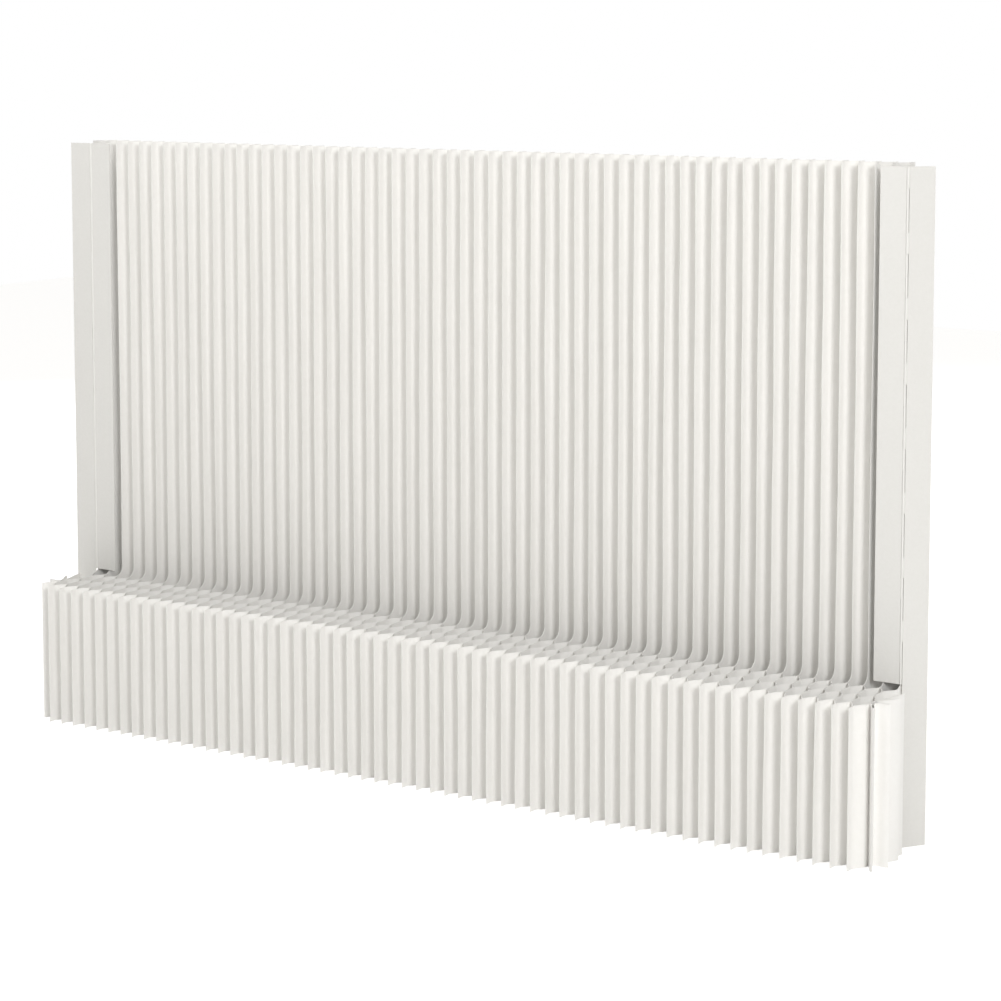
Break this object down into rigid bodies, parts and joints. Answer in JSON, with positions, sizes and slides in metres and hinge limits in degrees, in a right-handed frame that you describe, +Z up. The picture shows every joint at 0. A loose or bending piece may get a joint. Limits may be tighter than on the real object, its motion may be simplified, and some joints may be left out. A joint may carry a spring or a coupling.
{
  "type": "pleated paper screen",
  "caption": "Expandable honeycomb screen of L-shaped paper leaves: a tall pleated wall with a low pleated ledge at its foot, hinged end boards and flaps.",
  "frame": {"origin": "middle of the object's lowest level, on the floor", "axes": "+X along the opened screen, +Y from the ledge to the back of the wall, +Z up"},
  "size_m": [2.9592, 0.36, 1.83],
  "materials": {
    "paper": "matte, warm white, thin fibrous sheet",
    "felt_board": "matte, pale warm grey",
    "hinge_steel": "satin, pale warm grey"
  },
  "bodies": {
    "left_end": {"left_strip": "felt_board", "left_hinge_eyes": "hinge_steel", "left_hinge_rod": "hinge_steel", "left_corner_fan": "paper", "pleats_01": "paper"},
    "left_flap_leaf": {"left_flap": "felt_board", "left_flap_sleeves": "hinge_steel"},
    "left_board_leaf": {"left_board": "felt_board", "left_board_sleeves": "hinge_steel"},
    "section_02": {"pleats_02": "paper"},
    "section_03": {"pleats_03": "paper"},
    "section_04": {"pleats_04": "paper"},
    "section_05": {"pleats_05": "paper"},
    "section_06": {"pleats_06": "paper"},
    "section_07": {"pleats_07": "paper"},
    "section_08": {"pleats_08": "paper"},
    "section_09": {"pleats_09": "paper"},
    "section_10": {"pleats_10": "paper"},
    "section_11": {"pleats_11": "paper"},
    "section_12": {"pleats_12": "paper"},
    "section_13": {"pleats_13": "paper"},
    "section_14": {"pleats_14": "paper"},
    "section_15": {"pleats_15": "paper"},
    "section_16": {"pleats_16": "paper"},
    "section_17": {"pleats_17": "paper"},
    "section_18": {"pleats_18": "paper"},
    "section_19": {"pleats_19": "paper"},
    "section_20": {"pleats_20": "paper"},
    "section_21": {"pleats_21": "paper"},
    "section_22": {"pleats_22": "paper"},
    "section_23": {"pleats_23": "paper"},
    "section_24": {"pleats_24": "paper"},
    "section_25": {"pleats_25": "paper"},
    "section_26": {"pleats_26": "paper"},
    "section_27": {"pleats_27": "paper"},
    "section_28": {"pleats_28": "paper"},
    "section_29": {"pleats_29": "paper"},
    "right_end": {"right_strip": "felt_board", "right_hinge_eyes": "hinge_steel", "right_hinge_rod": "hinge_steel", "right_corner_fan": "paper"},
    "right_flap_leaf": {"right_flap": "felt_board", "right_flap_sleeves": "hinge_steel"},
    "right_board_leaf": {"right_board": "felt_board", "right_board_sleeves": "hinge_steel"}
  },
  "joints": [
    {"name": "close_slide", "type": "slide", "parent": "left_end", "child": "right_end", "axis": [1, 0, 0], "range_m": [-2.66, 0], "deforming": ["pleats_01", "left_corner_fan", "right_corner_fan"]},
    {"name": "section_02_slide", "type": "slide", "parent": "left_end", "child": "section_02", "axis": [1, 0, 0], "range_m": [-0.0927, 0], "deforming": ["pleats_02"]},
    {"name": "section_03_slide", "type": "slide", "parent": "left_end", "child": "section_03", "axis": [1, 0, 0], "range_m": [-0.1844, 0], "deforming": ["pleats_03"]},
    {"name": "section_04_slide", "type": "slide", "parent": "left_end", "child": "section_04", "axis": [1, 0, 0], "range_m": [-0.2762, 0], "deforming": ["pleats_04"]},
    {"name": "section_05_slide", "type": "slide", "parent": "left_end", "child": "section_05", "axis": [1, 0, 0], "range_m": [-0.3679, 0], "deforming": ["pleats_05"]},
    {"name": "section_06_slide", "type": "slide", "parent": "left_end", "child": "section_06", "axis": [1, 0, 0], "range_m": [-0.4596, 0], "deforming": ["pleats_06"]},
    {"name": "section_07_slide", "type": "slide", "parent": "left_end", "child": "section_07", "axis": [1, 0, 0], "range_m": [-0.5513, 0], "deforming": ["pleats_07"]},
    {"name": "section_08_slide", "type": "slide", "parent": "left_end", "child": "section_08", "axis": [1, 0, 0], "range_m": [-0.6431, 0], "deforming": ["pleats_08"]},
    {"name": "section_09_slide", "type": "slide", "parent": "left_end", "child": "section_09", "axis": [1, 0, 0], "range_m": [-0.7348, 0], "deforming": ["pleats_09"]},
    {"name": "section_10_slide", "type": "slide", "parent": "left_end", "child": "section_10", "axis": [1, 0, 0], "range_m": [-0.8265, 0], "deforming": ["pleats_10"]},
    {"name": "section_11_slide", "type": "slide", "parent": "left_end", "child": "section_11", "axis": [1, 0, 0], "range_m": [-0.9182, 0], "deforming": ["pleats_11"]},
    {"name": "section_12_slide", "type": "slide", "parent": "left_end", "child": "section_12", "axis": [1, 0, 0], "range_m": [-1.01, 0], "deforming": ["pleats_12"]},
    {"name": "section_13_slide", "type": "slide", "parent": "left_end", "child": "section_13", "axis": [1, 0, 0], "range_m": [-1.1017, 0], "deforming": ["pleats_13"]},
    {"name": "section_14_slide", "type": "slide", "parent": "left_end", "child": "section_14", "axis": [1, 0, 0], "range_m": [-1.1934, 0], "deforming": ["pleats_14"]},
    {"name": "section_15_slide", "type": "slide", "parent": "left_end", "child": "section_15", "axis": [1, 0, 0], "range_m": [-1.2851, 0], "deforming": ["pleats_15"]},
    {"name": "section_16_slide", "type": "slide", "parent": "left_end", "child": "section_16", "axis": [1, 0, 0], "range_m": [-1.3769, 0], "deforming": ["pleats_16"]},
    {"name": "section_17_slide", "type": "slide", "parent": "left_end", "child": "section_17", "axis": [1, 0, 0], "range_m": [-1.4686, 0], "deforming": ["pleats_17"]},
    {"name": "section_18_slide", "type": "slide", "parent": "left_end", "child": "section_18", "axis": [1, 0, 0], "range_m": [-1.5603, 0], "deforming": ["pleats_18"]},
    {"name": "section_19_slide", "type": "slide", "parent": "left_end", "child": "section_19", "axis": [1, 0, 0], "range_m": [-1.652, 0], "deforming": ["pleats_19"]},
    {"name": "section_20_slide", "type": "slide", "parent": "left_end", "child": "section_20", "axis": [1, 0, 0], "range_m": [-1.7438, 0], "deforming": ["pleats_20"]},
    {"name": "section_21_slide", "type": "slide", "parent": "left_end", "child": "section_21", "axis": [1, 0, 0], "range_m": [-1.8355, 0], "deforming": ["pleats_21"]},
    {"name": "section_22_slide", "type": "slide", "parent": "left_end", "child": "section_22", "axis": [1, 0, 0], "range_m": [-1.9272, 0], "deforming": ["pleats_22"]},
    {"name": "section_23_slide", "type": "slide", "parent": "left_end", "child": "section_23", "axis": [1, 0, 0], "range_m": [-2.0189, 0], "deforming": ["pleats_23"]},
    {"name": "section_24_slide", "type": "slide", "parent": "left_end", "child": "section_24", "axis": [1, 0, 0], "range_m": [-2.1107, 0], "deforming": ["pleats_24"]},
    {"name": "section_25_slide", "type": "slide", "parent": "left_end", "child": "section_25", "axis": [1, 0, 0], "range_m": [-2.2024, 0], "deforming": ["pleats_25"]},
    {"name": "section_26_slide", "type": "slide", "parent": "left_end", "child": "section_26", "axis": [1, 0, 0], "range_m": [-2.2941, 0], "deforming": ["pleats_26"]},
    {"name": "section_27_slide", "type": "slide", "parent": "left_end", "child": "section_27", "axis": [1, 0, 0], "range_m": [-2.3858, 0], "deforming": ["pleats_27"]},
    {"name": "section_28_slide", "type": "slide", "parent": "left_end", "child": "section_28", "axis": [1, 0, 0], "range_m": [-2.4776, 0], "deforming": ["pleats_28"]},
    {"name": "section_29_slide", "type": "slide", "parent": "left_end", "child": "section_29", "axis": [1, 0, 0], "range_m": [-2.5693, 0], "deforming": ["pleats_29"]},
    {"name": "left_flap_hinge", "type": "hinge", "parent": "left_end", "child": "left_flap_leaf", "pos_m": [-1.39758, 0.08055, 0], "axis": [0, 0, -1], "range_deg": [0, 100]},
    {"name": "right_flap_hinge", "type": "hinge", "parent": "right_end", "child": "right_flap_leaf", "pos_m": [1.43012, 0.08055, 0], "axis": [0, 0, 1], "range_deg": [0, 100]},
    {"name": "left_board_hinge", "type": "hinge", "parent": "left_end", "child": "left_board_leaf", "pos_m": [-1.39758, 0.08055, 0], "axis": [0, 0, -1], "range_deg": [-35, 60]},
    {"name": "right_board_hinge", "type": "hinge", "parent": "right_end", "child": "right_board_leaf", "pos_m": [1.43012, 0.08055, 0], "axis": [0, 0, 1], "range_deg": [-90, 5]}
  ],
  "couplings": [
    {"joint": "section_02_slide", "follows": "close_slide", "ratio": 0.034483},
    {"joint": "section_03_slide", "follows": "close_slide", "ratio": 0.068965},
    {"joint": "section_04_slide", "follows": "close_slide", "ratio": 0.10345},
    {"joint": "section_05_slide", "follows": "close_slide", "ratio": 0.13793},
    {"joint": "section_06_slide", "follows": "close_slide", "ratio": 0.17241},
    {"joint": "section_07_slide", "follows": "close_slide", "ratio": 0.2069},
    {"joint": "section_08_slide", "follows": "close_slide", "ratio": 0.24138},
    {"joint": "section_09_slide", "follows": "close_slide", "ratio": 0.27586},
    {"joint": "section_10_slide", "follows": "close_slide", "ratio": 0.31034},
    {"joint": "section_11_slide", "follows": "close_slide", "ratio": 0.34483},
    {"joint": "section_12_slide", "follows": "close_slide", "ratio": 0.37931},
    {"joint": "section_13_slide", "follows": "close_slide", "ratio": 0.41379},
    {"joint": "section_14_slide", "follows": "close_slide", "ratio": 0.44828},
    {"joint": "section_15_slide", "follows": "close_slide", "ratio": 0.48276},
    {"joint": "section_16_slide", "follows": "close_slide", "ratio": 0.51724},
    {"joint": "section_17_slide", "follows": "close_slide", "ratio": 0.55172},
    {"joint": "section_18_slide", "follows": "close_slide", "ratio": 0.58621},
    {"joint": "section_19_slide", "follows": "close_slide", "ratio": 0.62069},
    {"joint": "section_20_slide", "follows": "close_slide", "ratio": 0.65517},
    {"joint": "section_21_slide", "follows": "close_slide", "ratio": 0.68966},
    {"joint": "section_22_slide", "follows": "close_slide", "ratio": 0.72414},
    {"joint": "section_23_slide", "follows": "close_slide", "ratio": 0.75862},
    {"joint": "section_24_slide", "follows": "close_slide", "ratio": 0.7931},
    {"joint": "section_25_slide", "follows": "close_slide", "ratio": 0.82759},
    {"joint": "section_26_slide", "follows": "close_slide", "ratio": 0.86207},
    {"joint": "section_27_slide", "follows": "close_slide", "ratio": 0.89655},
    {"joint": "section_28_slide", "follows": "close_slide", "ratio": 0.93103},
    {"joint": "section_29_slide", "follows": "close_slide", "ratio": 0.96552}
  ]
}
